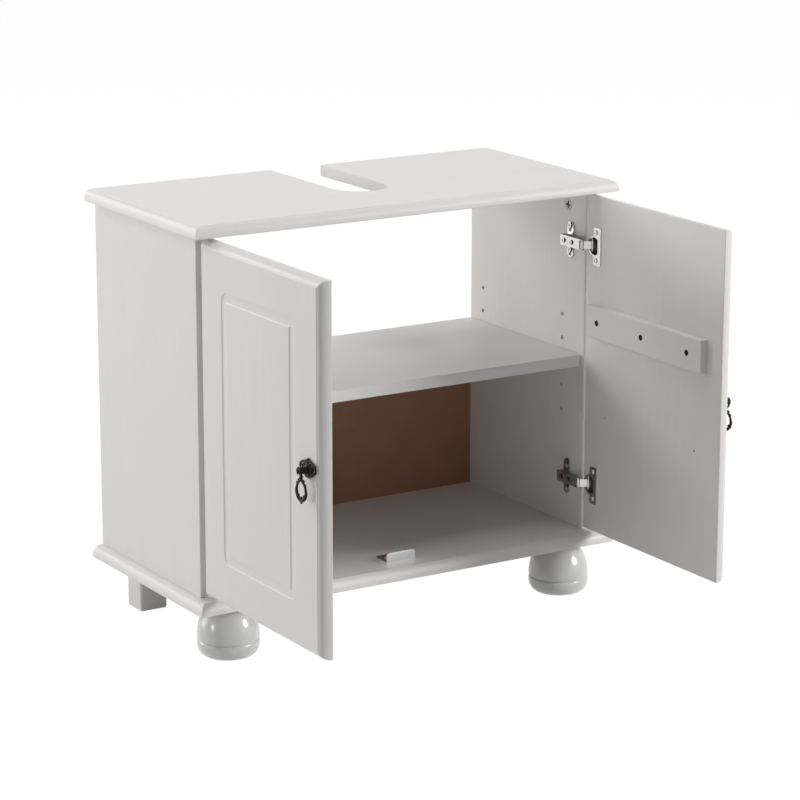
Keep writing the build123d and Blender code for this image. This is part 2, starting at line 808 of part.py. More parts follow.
drop_face = handle_face.offset(drop_pin_reach)
drop_pin_plane = Plane(
    origin=drop_face.from_local_coords(Vector(0, -drop_pin_drop, 0)), x_dir=(1, 0, 0), z_dir=(0, 1, 0)
)
with BuildPart() as handle_plate:
    with BuildSketch(handle_face):
        Ellipse(escutcheon_half_width, escutcheon_band)
        with Locations((0, escutcheon_rise / 2)):
            Ellipse(post_radius, escutcheon_rise / 2)
        with Locations((0, -escutcheon_fall / 2)):
            Ellipse(post_foot_radius, escutcheon_fall / 2)
        with Locations((pierce_offset, 0), (-pierce_offset, 0)):
            Circle(pierce_radius, mode=Mode.SUBTRACT)
        Circle(handle_stud_radius + fit, mode=Mode.SUBTRACT)
    extrude(amount=escutcheon_thickness)
save_pair(handle_plate.part, "handle_plate")

post_face = handle_face.offset(escutcheon_thickness)
with BuildPart() as handle_post:
    with BuildSketch(post_face):
        Circle(post_foot_radius)
    extrude(amount=post_foot_height)
    with BuildSketch(post_face):
        Circle(post_radius)
    extrude(amount=post_reach - escutcheon_thickness)
    fillet(handle_post.faces().sort_by(Axis.X)[-1].edges(), edge_round)
    with BuildSketch(handle_face.offset(fork_start)):
        with Locations((0, fork_top)):
            fork_width = eye_thickness + 2 * eye_gap
            Rectangle(fork_width, 2 * post_foot_radius, align=(Align.CENTER, Align.MAX))
    extrude(amount=post_reach, mode=Mode.SUBTRACT)
    bore(post_face, [(0, 0)], handle_stud_radius + fit, handle_stud_in_post + bore_spare)
    with BuildSketch(drop_pin_plane):
        Circle(drop_pin_radius + fit)
    extrude(amount=post_radius, both=True, mode=Mode.SUBTRACT)
save_pair(handle_post.part, "handle_post")

with BuildPart() as handle_stud:
    with BuildSketch(handle_face.offset(-handle_stud_in_door)):
        Circle(handle_stud_radius)
    extrude(amount=handle_stud_in_door + escutcheon_thickness + handle_stud_in_post)
save_pair(handle_stud.part, "handle_stud")

with BuildPart() as handle_drop:
    with BuildSketch(drop_pin_plane):
        Circle(eye_radius)
    extrude(amount=eye_thickness / 2, both=True)
    with BuildSketch(drop_face):
        with Locations((0, -drop_pin_drop)):
            neck_length = ring_centre - ring_half_height + ring_rod / 2 - drop_pin_drop
            Rectangle(eye_thickness, neck_length, align=(Align.CENTER, Align.MAX))
        with Locations((0, -ring_centre)):
            Ellipse(ring_half_width, ring_half_height)
            Ellipse(ring_half_width - ring_rod, ring_half_height - ring_rod, mode=Mode.SUBTRACT)
        with Locations((0, -ring_centre - ring_half_height)):
            Circle(tip_radius)
        with Locations(*[(s * bead_offset, ring_half_height - ring_centre) for s in both_sides]):
            Circle(bead_radius)
    extrude(amount=ring_rod / 2, both=True)
    with BuildSketch(drop_pin_plane):
        Circle(drop_pin_radius + running_fit)
    extrude(amount=eye_thickness, both=True, mode=Mode.SUBTRACT)
save_pair(handle_drop.part, "handle_drop")

with BuildPart() as drop_pin:
    with BuildSketch(drop_pin_plane):
        Circle(drop_pin_radius)
    extrude(amount=sqrt(post_radius**2 - (drop_pin_drop + drop_pin_radius) ** 2), both=True)
save_pair(drop_pin.part, "drop_pin")
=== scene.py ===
"""Looks of a small white cabinet for under a basin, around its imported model.

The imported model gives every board, fitting and foot its place. This script dresses them with
procedural finishes, adds the turned feet, the softened hinge parts and the ornamental drop
handles, and sets a pale floor, soft lamps and the camera. All lengths are metres.
"""

from __future__ import annotations

import json
import logging
import math
from collections.abc import Callable, Iterable, Mapping, Sequence
from dataclasses import dataclass, field
from enum import Enum
from typing import Any

import bmesh
import bpy
from mathutils import Matrix, Vector

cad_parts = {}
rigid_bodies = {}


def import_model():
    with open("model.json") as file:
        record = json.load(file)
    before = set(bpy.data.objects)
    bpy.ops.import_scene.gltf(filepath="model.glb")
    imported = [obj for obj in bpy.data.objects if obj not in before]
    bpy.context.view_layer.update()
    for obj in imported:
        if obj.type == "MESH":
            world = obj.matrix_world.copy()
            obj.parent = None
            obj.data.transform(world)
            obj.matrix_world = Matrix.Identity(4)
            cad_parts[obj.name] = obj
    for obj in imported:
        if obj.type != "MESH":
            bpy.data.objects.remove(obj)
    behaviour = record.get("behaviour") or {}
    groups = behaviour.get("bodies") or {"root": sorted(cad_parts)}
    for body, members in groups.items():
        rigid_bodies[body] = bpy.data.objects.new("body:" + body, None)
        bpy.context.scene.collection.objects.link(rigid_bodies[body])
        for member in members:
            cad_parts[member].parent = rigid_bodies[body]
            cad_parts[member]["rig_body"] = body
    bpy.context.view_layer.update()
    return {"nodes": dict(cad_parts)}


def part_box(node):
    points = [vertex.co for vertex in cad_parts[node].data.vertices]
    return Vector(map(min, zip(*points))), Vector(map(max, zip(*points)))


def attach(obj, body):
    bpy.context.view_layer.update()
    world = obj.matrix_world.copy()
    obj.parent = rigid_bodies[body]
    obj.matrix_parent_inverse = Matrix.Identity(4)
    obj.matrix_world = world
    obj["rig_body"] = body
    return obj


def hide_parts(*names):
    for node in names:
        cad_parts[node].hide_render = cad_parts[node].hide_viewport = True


log = logging.getLogger("cabinet")

MM = 0.001

# Points nearer than these become one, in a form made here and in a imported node.
MADE_MERGE = 1e-7
PACKED_MERGE = 2e-6

WHITE = (1.0, 1.0, 1.0, 1.0)
Pair = tuple[float, float]
Triple = tuple[float, float, float]


class Grain(Enum):
    """The way that a board's grain runs, as whether X, Y and Z lie across it."""

    ACROSS = (0, 1, 1)
    DEEP = (1, 0, 1)
    UPRIGHT = (1, 1, 0)


class Side(Enum):
    """Left or right of the cabinet, by the sign of X."""

    LEFT = -1
    RIGHT = 1

    @property
    def tag(self) -> str:
        """The ending of the node names on this side."""
        return self.name.lower()


# --- Shader networks


class Signal:
    """A socket of a shader network, on which Python's operators add Math nodes."""

    def __init__(self, network: Network, socket: bpy.types.NodeSocket) -> None:
        """Keep the socket and the network that it belongs to."""
        self.network = network
        self.socket = socket

    def _math(self, operation: str, *terms: Signal | float) -> Signal:
        """Add one Math node to the network.

        Args:
            operation: The node's operation.
            terms: Its values or links, in order.

        Returns:
            The node's result.
        """
        return self.network.add("ShaderNodeMath", {"operation": operation}, dict(enumerate(terms)))

    def __add__(self, other: Signal | float) -> Signal:
        """Sum."""
        return self._math("ADD", self, other)

    __radd__ = __add__

    def __sub__(self, other: Signal | float) -> Signal:
        """Difference."""
        return self._math("SUBTRACT", self, other)

    def __rsub__(self, other: float) -> Signal:
        """Difference from a number."""
        return self._math("SUBTRACT", other, self)

    def __mul__(self, other: Signal | float) -> Signal:
        """Product."""
        return self._math("MULTIPLY", self, other)

    __rmul__ = __mul__

    def at_most(self, other: Signal | float) -> Signal:
        """The smaller of two values."""
        return self._math("MINIMUM", self, other)


class Network:
    """The shader network of one material or of the world."""

    def __init__(self, owner: bpy.types.Material | bpy.types.World) -> None:
        """Start the owner's network afresh.

        Args:
            owner: The material or world that it belongs to.
        """
        owner.use_nodes = True
        self.tree = owner.node_tree
        self.tree.nodes.clear()

    def add(
        self,
        kind: str,
        settings: Mapping[str, Any] | None = None,
        inputs: Mapping[str | int, Any] | None = None,
        output: str | int = 0,
    ) -> Signal:
        """Add a node.

        Args:
            kind: The node's type.
            settings: Its properties, set before its sockets; stops are a colour ramp's.
            inputs: Values or signals of its sockets, by name or number.
            output: Which result to return.

        Returns:
            The chosen result as a signal.
        """
        node = self.tree.nodes.new(kind)
        for name, value in (settings or {}).items():
            if name == "stops":
                ramp = node.color_ramp.elements
                while len(ramp) < len(value):
                    ramp.new(0.5)
                for element, (place, colour) in zip(ramp, value):
                    element.position = place
                    element.color = colour
            else:
                setattr(node, name, value)
        for name, value in (inputs or {}).items():
            socket = node.inputs[name]
            if isinstance(value, Signal):
                self.tree.links.new(value.socket, socket)
            else:
                socket.default_value = value
        return Signal(self, node.outputs[output])

    def place(self, scale: Sequence[float] = (1, 1, 1)) -> Signal:
        """Object coordinates, stretched.

        Args:
            scale: How often a pattern repeats along X, Y and Z, per metre.

        Returns:
            The coordinates as a vector.
        """
        where = self.add("ShaderNodeTexCoord", output="Object")
        return self.add("ShaderNodeMapping", inputs={"Vector": where, "Scale": tuple(scale)})

    def noise(self, where: Signal, detail: float = 3.0, roughness: float = 0.5) -> Signal:
        """Smooth noise from 0 to 1 over stretched coordinates.

        Args:
            where: The coordinates.
            detail: How many finer layers it has.
            roughness: How strong the finer layers are.

        Returns:
            The noise.
        """
        return self.add(
            "ShaderNodeTexNoise",
            {"noise_dimensions": "3D"},
            {"Vector": where, "Scale": 1.0, "Detail": detail, "Roughness": roughness},
        )

    def blend(self, share: Signal, first: Sequence[float], second: Sequence[float]) -> Signal:
        """Mix two colours.

        Args:
            share: 0 for the first colour to 1 for the second.
            first: Red, green and blue.
            second: Red, green and blue.

        Returns:
            The mixed colour.
        """
        return self.add(
            "ShaderNodeMix",
            {"data_type": "RGBA", "clamp_factor": True},
            {0: share, 6: (*first, 1), 7: (*second, 1)},
            output=2,
        )

    def relief(self, height: Signal, depth: float, strength: float = 1.0) -> Signal:
        """A Bump node's normal.

        Args:
            height: The relief, from 0 to 1.
            depth: How deep 1 is, in metres.
            strength: The node's strength.

        Returns:
            The normal.
        """
        return self.add(
            "ShaderNodeBump", inputs={"Strength": strength, "Distance": depth, "Height": height}
        )

    def surface(self, **sockets: Any) -> None:
        """Finish a material with one principled surface.

        Args:
            sockets: Its sockets, with underscores for spaces.
        """
        shader = self.add(
            "ShaderNodeBsdfPrincipled",
            inputs={name.replace("_", " "): value for name, value in sockets.items()},
        )
        self.finish(shader)

    def finish(self, shader: Signal, kind: str = "ShaderNodeOutputMaterial") -> None:
        """Link a shader to the owner's output.

        Args:
            shader: The shader.
            kind: The output node's type.
        """
        node = self.tree.nodes.new(kind)
        self.tree.links.new(shader.socket, node.inputs["Surface"])


# --- Finishes


@dataclass(frozen=True)
class FoilFinish:
    """White foil on chipboard, embossed with a faint wood grain.

    A streak and a pore are given by their widths, and a cloud by its width and its run.
    """

    grain: Grain
    colour: Triple = (0.805, 0.790, 0.777)
    shade: Triple = (0.725, 0.710, 0.696)
    streak: float = 0.0042
    pore: float = 0.0011
    run: float = 0.16
    pore_run: float = 0.3
    cloud: Pair = (0.07, 0.3)
    mean_tone: float = 0.30
    roughness: float = 0.36
    spread: float = 0.10
    specular: float = 0.42
    depth: float = 0.00005
    strength: float = 0.55

    @property
    def name(self) -> str:
        """The material's name."""
        return f"white_foil_{self.grain.name.lower()}"

    def _stretch(self, width: float, run: float) -> list[float]:
        """Repeats per metre of a streak of that width and run."""
        return [1 / width if across else 1 / run for across in self.grain.value]

    def make(self) -> bpy.types.Material:
        """Build the material.

        Returns:
            The material.
        """
        material = bpy.data.materials.new(self.name)
        net = Network(material)
        streaks = net.noise(net.place(self._stretch(self.streak, self.run)), 2.0, 0.45)
        pores = net.noise(net.place(self._stretch(self.pore, self.run * self.pore_run)), 2.0, 0.6)
        clouds = net.noise(net.place(self._stretch(*self.cloud)), 1.0)
        tone = (streaks - 0.5) * 0.55 + (pores - 0.5) * 0.30 + (clouds - 0.5) * 0.30
        height = streaks * 0.5 + pores * 0.5
        net.surface(
            Base_Color=net.blend(tone + self.mean_tone, self.colour, self.shade),
            Roughness=pores * self.spread + self.roughness,
            Specular_IOR_Level=self.specular,
            Normal=net.relief(height, self.depth, self.strength),
        )
        return material


@dataclass(frozen=True)
class LacquerFinish:
    """White lacquer on turned wood, glossier than the boards."""

    name: str = "white_lacquer"
    colour: Triple = (0.70, 0.70, 0.685)
    shade: Triple = (0.65, 0.65, 0.635)
    turning: Triple = (18, 18, 900)
    cloud: Triple = (38, 38, 38)
    roughness: float = 0.22
    spread: float = 0.04
    coat: float = 0.35
    coat_roughness: float = 0.10
    depth: float = 0.000006

    def make(self) -> bpy.types.Material:
        """Build the material.

        Returns:
            The material.
        """
        material = bpy.data.materials.new(self.name)
        net = Network(material)
        turning = net.noise(net.place(self.turning), 2.0)
        clouds = net.noise(net.place(self.cloud), 2.0)
        net.surface(
            Base_Color=net.blend(clouds, self.colour, self.shade),
            Roughness=turning * self.spread + self.roughness,
            Specular_IOR_Level=0.5,
            Coat_Weight=self.coat,
            Coat_Roughness=self.coat_roughness,
            Normal=net.relief(turning, self.depth, 0.3),
        )
        return material


@dataclass(frozen=True)
class HardboardFinish:
    """Bare brown hardboard, smooth on its face, with a mottle of pressed fibres."""

    name: str = "brown_hardboard"
    colour: Triple = (0.425, 0.228, 0.130)
    shade: Triple = (0.310, 0.155, 0.086)
    fibre: Triple = (520, 520, 520)
    cloud: Triple = (24, 24, 24)
    roughness: float = 0.48
    spread: float = 0.2
    specular: float = 0.4
    depth: float = 0.00008

    def make(self) -> bpy.types.Material:
        """Build the material.

        Returns:
            The material.
        """
        material = bpy.data.materials.new(self.name)
        net = Network(material)
        fibres = net.noise(net.place(self.fibre), 4.0, 0.65)
        clouds = net.noise(net.place(self.cloud), 3.0)
        net.surface(
            Base_Color=net.blend(fibres * 0.6 + clouds * 0.7 - 0.15, self.colour, self.shade),
            Roughness=fibres * self.spread + self.roughness,
            Specular_IOR_Level=self.specular,
            Normal=net.relief(fibres, self.depth, 0.5),
        )
        return material


@dataclass(frozen=True)
class BeechFinish:
    """Plain beech, for the dowels."""

    name: str = "beech"
    colour: Triple = (0.60, 0.38, 0.20)
    shade: Triple = (0.46, 0.26, 0.13)
    ray: Triple = (900, 900, 60)
    roughness: float = 0.5
    spread: float = 0.2
    depth: float = 0.00005

    def make(self) -> bpy.types.Material:
        """Build the material.

        Returns:
            The material.
        """
        material = bpy.data.materials.new(self.name)
        net = Network(material)
        rays = net.noise(net.place(self.ray), 3.0)
        net.surface(
            Base_Color=net.blend(rays, self.colour, self.shade),
            Roughness=rays * self.spread + self.roughness,
            Normal=net.relief(rays, self.depth, 0.5),
        )
        return material


@dataclass(frozen=True)
class MetalFinish:
    """A plated or drawn metal with fine wear; strokes give a brushed face."""

    name: str
    colour: Triple
    shade: Triple
    roughness: float
    spread: float = 0.12
    metallic: float = 1.0
    strokes: Triple = (420.0, 420.0, 420.0)
    cloud: Triple = (140, 140, 140)
    depth: float = 0.00002

    def make(self) -> bpy.types.Material:
        """Build the material.

        Returns:
            The material.
        """
        material = bpy.data.materials.new(self.name)
        net = Network(material)
        wear = net.noise(net.place(self.strokes), 3.0, 0.6)
        clouds = net.noise(net.place(self.cloud), 2.0)
        net.surface(
            Base_Color=net.blend(wear * 0.5 + clouds * 0.5, self.colour, self.shade),
            Metallic=self.metallic,
            Roughness=wear * self.spread + self.roughness,
            Normal=net.relief(wear, self.depth, 0.5),
        )
        return material


@dataclass
class Finishes:
    """Every finish of the cabinet, made once and kept by its use."""

    board_across: bpy.types.Material = field(init=False)
    board_upright: bpy.types.Material = field(init=False)
    board_deep: bpy.types.Material = field(init=False)
    lacquer: bpy.types.Material = field(init=False)
    hardboard: bpy.types.Material = field(init=False)
    beech: bpy.types.Material = field(init=False)
    nickel: bpy.types.Material = field(init=False)
    shadowed: bpy.types.Material = field(init=False)
    cut_edge: bpy.types.Material = field(init=False)
    cast: bpy.types.Material = field(init=False)
    zinc: bpy.types.Material = field(init=False)
    brushed: bpy.types.Material = field(init=False)
    black: bpy.types.Material = field(init=False)
    bronze: bpy.types.Material = field(init=False)

    def __post_init__(self) -> None:
        """Make the materials."""
        self.board_across = FoilFinish(Grain.ACROSS).make()
        self.board_upright = FoilFinish(Grain.UPRIGHT).make()
        self.board_deep = FoilFinish(Grain.DEEP).make()
        self.lacquer = LacquerFinish().make()
        self.hardboard = HardboardFinish().make()
        self.beech = BeechFinish().make()
        self.nickel = MetalFinish(
            "bright_nickel", (0.64, 0.635, 0.62), (0.52, 0.515, 0.50), 0.17
        ).make()
        # Painted shade: dark nickel for the walls of a hinge cup's bowl and its upward faces.
        self.shadowed = MetalFinish(
            "cup_inside", (0.16, 0.155, 0.15), (0.10, 0.10, 0.095), 0.35
        ).make()
        # Painted shade: darker nickel for the upward faces of the hinge sheets.
        self.cut_edge = MetalFinish(
            "cut_edge", (0.26, 0.255, 0.25), (0.16, 0.16, 0.155), 0.32
        ).make()
        self.cast = MetalFinish(
            "cast_zinc", (0.60, 0.60, 0.59), (0.50, 0.50, 0.49), 0.42, metallic=0.25
        ).make()
        self.zinc = MetalFinish("zinc", (0.62, 0.62, 0.61), (0.46, 0.46, 0.46), 0.26).make()
        self.brushed = MetalFinish(
            "brushed_steel", (0.66, 0.66, 0.65), (0.50, 0.50, 0.49), 0.24, strokes=(40, 1500, 1500)
        ).make()
        # Black steel for the batten screws, and painted shade on the walls of screw and cam
        # recesses.
        self.black = MetalFinish(
            "blackened_steel", (0.022, 0.021, 0.020), (0.010, 0.010, 0.009), 0.30
        ).make()
        self.bronze = MetalFinish(
            "aged_bronze",
            (0.030, 0.026, 0.022),
            (0.008, 0.007, 0.006),
            roughness=0.20,
            spread=0.22,
            metallic=0.90,
            depth=0.00006,
        ).make()


# --- Making pieces


def metres(profile: Iterable[Pair]) -> list[Pair]:
    """A profile in millimetres as one in metres."""
    return [(radius * MM, height * MM) for radius, height in profile]


class Shape:
    """A mesh in the making: small forms are added to it one by one, in metres."""

    def __init__(self) -> None:
        """Start empty."""
        self.mesh = bmesh.new()

    def _place(self, verts: Iterable[bmesh.types.BMVert], matrix: Matrix) -> None:
        """Move new vertices to their place."""
        bmesh.ops.transform(self.mesh, matrix=matrix, verts=list(verts))

    def lathe(
        self,
        profile: Sequence[Pair],
        matrix: Matrix,
        steps: int = 40,
        keep: Sequence[tuple[Triple, Triple]] = (),
    ) -> Shape:
        """Spin a profile about Z.

        Args:
            profile: Radius and height of each corner, from one end to the other.
            matrix: The place of the turned form.
            steps: How many faces go round.
            keep: Planes, as a point and a normal, that cut it; what the normal points to stays.

        Returns:
            This shape.
        """
        before = set(self.mesh.verts)
        corners = [self.mesh.verts.new((radius, 0, height)) for radius, height in profile]
        edges = [self.mesh.edges.new(pair) for pair in zip(corners, corners[1:])]
        bmesh.ops.spin(
            self.mesh,
            geom=corners + edges,
            cent=(0, 0, 0),
            axis=(0, 0, 1),
            angle=math.tau,
            steps=steps,
            use_merge=True,
        )
        fresh = [v for v in self.mesh.verts if v not in before]
        bmesh.ops.remove_doubles(self.mesh, verts=fresh, dist=MADE_MERGE)
        for point, normal in keep:
            fresh = [v for v in self.mesh.verts if v not in before]
            edges = {e for v in fresh for e in v.link_edges}
            faces = {f for v in fresh for f in v.link_faces}
            cut = bmesh.ops.bisect_plane(
                self.mesh,
                geom=[*fresh, *edges, *faces],
                plane_co=point,
                plane_no=normal,
                clear_inner=True,
            )
            rim = [e for e in cut["geom_cut"] if isinstance(e, bmesh.types.BMEdge)]
            bmesh.ops.holes_fill(self.mesh, edges=rim)
        fresh = [v for v in self.mesh.verts if v not in before]
        faces = {f for v in fresh for f in v.link_faces}
        bmesh.ops.recalc_face_normals(self.mesh, faces=list(faces))
        self._place(fresh, matrix)
        return self

    def bead(self, radii: Triple, matrix: Matrix, steps: int = 20) -> Shape:
        """Add a round or drawn-out bead.

        Args:
            radii: Its half sizes along its own X, Y and Z.
            matrix: Its place.
            steps: How many faces go round.

        Returns:
            This shape.
        """
        made = bmesh.ops.create_uvsphere(
            self.mesh, u_segments=steps, v_segments=steps // 2, radius=1.0
        )
        self._place(made["verts"], matrix @ Matrix.Diagonal((*radii, 1.0)))
        return self

    def rod(
        self, points: Sequence[Vector], radii: Sequence[float], closed: bool, matrix: Matrix
    ) -> Shape:
        """Add a round rod of changing thickness along a smooth line.

        Args:
            points: Points that the line passes near.
            radii: The rod's radius at each point.
            closed: Whether it is a ring.
            matrix: Its place.

        Returns:
            This shape.
        """
        curve = bpy.data.curves.new("rod", "CURVE")
        curve.dimensions = "3D"
        curve.bevel_depth = 1.0
        curve.bevel_resolution = 3
        curve.resolution_u = 6
        curve.use_fill_caps = not closed
        spline = curve.splines.new("NURBS")
        spline.points.add(len(points) - 1)
        for control, point, radius in zip(spline.points, points, radii):
            control.co = (*point, 1.0)
            control.radius = radius
        spline.use_cyclic_u = closed
        spline.order_u = 4
        spline.use_endpoint_u = not closed
        holder = bpy.data.objects.new("rod", curve)
        bpy.context.scene.collection.objects.link(holder)
        graph = bpy.context.evaluated_depsgraph_get()
        mesh = bpy.data.meshes.new_from_object(holder.evaluated_get(graph))
        before = set(self.mesh.verts)
        self.mesh.from_mesh(mesh)
        bpy.data.objects.remove(holder)
        bpy.data.curves.remove(curve)
        bpy.data.meshes.remove(mesh)
        fresh = [v for v in self.mesh.verts if v not in before]
        bmesh.ops.remove_doubles(self.mesh, verts=fresh, dist=MADE_MERGE)
        fresh = [v for v in self.mesh.verts if v not in before]
        faces = {f for v in fresh for f in v.link_faces}
        bmesh.ops.recalc_face_normals(self.mesh, faces=list(faces))
        self._place(fresh, matrix)
        return self

    def reflected(self, side: Side) -> Shape:
        """Turn a right-hand shape into the given side's.

        Args:
            side: The side of the cabinet.

        Returns:
            This shape.
        """
        if side is Side.LEFT:
            self._place(self.mesh.verts, Matrix.Diagonal((-1, 1, 1, 1)))
            bmesh.ops.reverse_faces(self.mesh, faces=self.mesh.faces[:])
        return self

    def done(
        self,
        name: str,
        finishes: Sequence[bpy.types.Material],
        body: str,
        slot: str,
        stands_for: Sequence[str] = (),
        crease: float = 40.0,
    ) -> bpy.types.Object:
        """Turn the shape into a piece of the cabinet.

        Args:
            name: The piece's name.
            finishes: Its materials.
            body: The body that it rides on.
            slot: The record's material slot; not used.
            stands_for: The nodes that it replaces.
            crease: The angle in degrees past which an edge is sharp.

        Returns:
            The piece.
        """
        data = bpy.data.meshes.new(name)
        for face in self.mesh.faces:
            face.smooth = True
        self.mesh.to_mesh(data)
        self.mesh.free()
        data.set_sharp_from_angle(angle=math.radians(crease))
        for finish in finishes:
            data.materials.append(finish)
        piece = bpy.data.objects.new(name, data)
        bpy.context.scene.collection.objects.link(piece)
        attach(piece, body)
        if stands_for:
            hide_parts(*stands_for)
        log.info("%s: %d faces on %s", name, len(data.polygons), body)
        return piece


@dataclass
class Bench:
    """What every sub-assembly needs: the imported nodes, their bodies and the finishes."""

    nodes: dict[str, bpy.types.Object]
    finishes: Finishes
    flat_within: float = math.radians(0.5)
    sharp_from: float = math.radians(38)

    def body(self, node: str) -> str:
        """The body that a node rides on."""
        return self.nodes[node]["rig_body"]

    def dress(self, node: str, finish: bpy.types.Material) -> None:
        """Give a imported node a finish.

        Args:
            node: The node's name.
            finish: Its material.
        """
        piece = self.nodes[node]
        if not piece.material_slots:
            piece.data.materials.append(finish)
        for slot in piece.material_slots:
            slot.material = finish
        log.info("%s: %s", node, finish.name)

    def soften(
        self,
        node: str,
        finishes: Sequence[bpy.types.Material],
        slot: str,
        width: float,
        second: Callable[[bmesh.types.BMFace], bool] | None = None,
    ) -> bpy.types.Object:
        """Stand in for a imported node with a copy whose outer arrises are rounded.

        Args:
            node: The node's name.
            finishes: The materials of the copy.
            slot: Its material slot in the record.
            width: How far the rounding reaches.
            second: Says of a face whether it takes the second finish.

        Returns:
            The new piece.
        """
        shape = Shape()
        mesh = shape.mesh
        mesh.from_mesh(self.nodes[node].data)
        bmesh.ops.remove_doubles(mesh, verts=mesh.verts, dist=PACKED_MERGE)
        bmesh.ops.dissolve_limit(
            mesh, angle_limit=self.flat_within, verts=mesh.verts[:], edges=mesh.edges[:]
        )
        sharp = [
            edge
            for edge in mesh.edges
            if len(edge.link_faces) == 2 and edge.calc_face_angle_signed(0) > self.sharp_from
        ]
        bmesh.ops.bevel(
            mesh,
            geom=sharp,
            offset=width,
            offset_type="OFFSET",
            affect="EDGES",
            segments=2,
            profile=0.5,
            material=-1,
            clamp_overlap=False,
        )
        bmesh.ops.triangulate(mesh, faces=[f for f in mesh.faces if len(f.verts) > 4])
        mesh.normal_update()
        for face in mesh.faces:
            face.material_index = int(bool(second and second(face)))
        piece = shape.done(f"{node}_dressed", finishes, self.body(node), slot, [node], crease=34.0)
        piece.modifiers.new("even_normals", "WEIGHTED_NORMAL").keep_sharp = True
        return piece


# --- Sub-assemblies


@dataclass
class Carcass:
    """The boards, back, shelf and the fittings that hold them."""

    bench: Bench
    across: tuple[str, ...] = ("top_panel", "bottom_panel", "shelf")
    upright: tuple[str, ...] = ("side_panel_left", "side_panel_right")
    zinc: tuple[str, ...] = ("cam_bolts", "bottom_screws", "back_nails", "foot_studs")
    arris: float = 0.6 * MM
    cam_arris: float = 0.4 * MM
    cam_face: float = 0.95

    def build(self) -> None:
        """Ease the boards' arrises and dress the carcass; a cam's recess takes painted shade."""
        looks = self.bench.finishes
        for node in self.across:
            self.bench.soften(node, [looks.board_across], "white_board", self.arris)
        for node in self.upright:
            self.bench.soften(node, [looks.board_upright], "white_board", self.arris)
        self.bench.soften(
            "cam_locks",
            [looks.cast, looks.black],
            "zinc",
            self.cam_arris,
            # Cross walls and rim bevel take the black finish as painted shade.
            second=lambda face: abs(face.normal.x) < self.cam_face,
        )
        for node in self.zinc:
            self.bench.dress(node, looks.zinc)
        self.bench.dress("shelf_pins", looks.nickel)
        self.bench.dress("back_panel", looks.hardboard)
        self.bench.dress("dowels", looks.beech)


@dataclass
class Feet:
    """Two turned ball feet in front and two block feet behind."""

    bench: Bench
    radius: float = 39.5 * MM
    base: float = 25 * MM
    neck: float = 18 * MM
    waist: float = 27 * MM
    ring: float = 16 * MM
    groove: float = 22 * MM
    groove_depth: float = 1.8 * MM
    groove_half: float = 1.2 * MM
    groove_floor: float = 0.3
    arc_steps: int = 16
    round_steps: int = 96

    def _profile(self, height: float) -> list[Pair]:
        """The ball's outline from the floor to the board.

        Args:
            height: The foot's height.

        Returns:
            Radius and height of each corner.
        """
        rise = (height - self.waist) / math.sqrt(1 - (self.neck / self.radius) ** 2)
        low, high = self.groove - self.groove_half, self.groove + self.groove_half
        end = math.asin((low - self.ring) / self.ring)
        turns = [i / self.arc_steps for i in range(self.arc_steps + 1)]
        lower = [-math.pi / 2 + t * (end + math.pi / 2) for t in turns]
        first = math.asin((high - self.waist) / rise)
        last = math.asin((height - self.waist) / rise)
        upper = [first + t * (last - first) for t in turns]
        reach = self.radius - self.base
        outline = [(0.0, 0.0)]
        outline += [(self.base + reach * math.cos(a), self.ring * (1 + math.sin(a))) for a in lower]
        deep, floor = self.radius - self.groove_depth, self.groove_floor * self.groove_half
        outline += [(deep, self.groove - floor), (deep, self.groove + floor)]
        outline += [(self.radius * math.cos(a), self.waist + rise * math.sin(a)) for a in upper]
        return [*outline, (0.0, height)]

    def build(self) -> None:
        """Turn the ball feet and dress the blocks."""
        looks = self.bench.finishes
        for side in Side:
            node = f"ball_foot_{side.tag}"
            low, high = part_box(node)
            middle = (low + high) / 2
            place = Matrix.Translation((middle.x, middle.y, low.z))
            shape = Shape().lathe(self._profile(high.z - low.z), place, self.round_steps)
            name = f"turned_foot_{side.tag}"
            shape.done(name, [looks.lacquer], "carcass", "white_turned", [node], crease=50.0)
            self.bench.dress(f"block_foot_{side.tag}", looks.board_upright)


@dataclass
class DoorStop:
    """The steel angle that the doors close against."""

    bench: Bench
    arris: float = 0.3 * MM

    def build(self) -> None:
        """Soften the angle and dress its screws."""
        looks = self.bench.finishes
        self.bench.soften("door_stop", [looks.brushed], "brushed_angle", self.arris)
        self.bench.dress("door_stop_screws", looks.zinc)


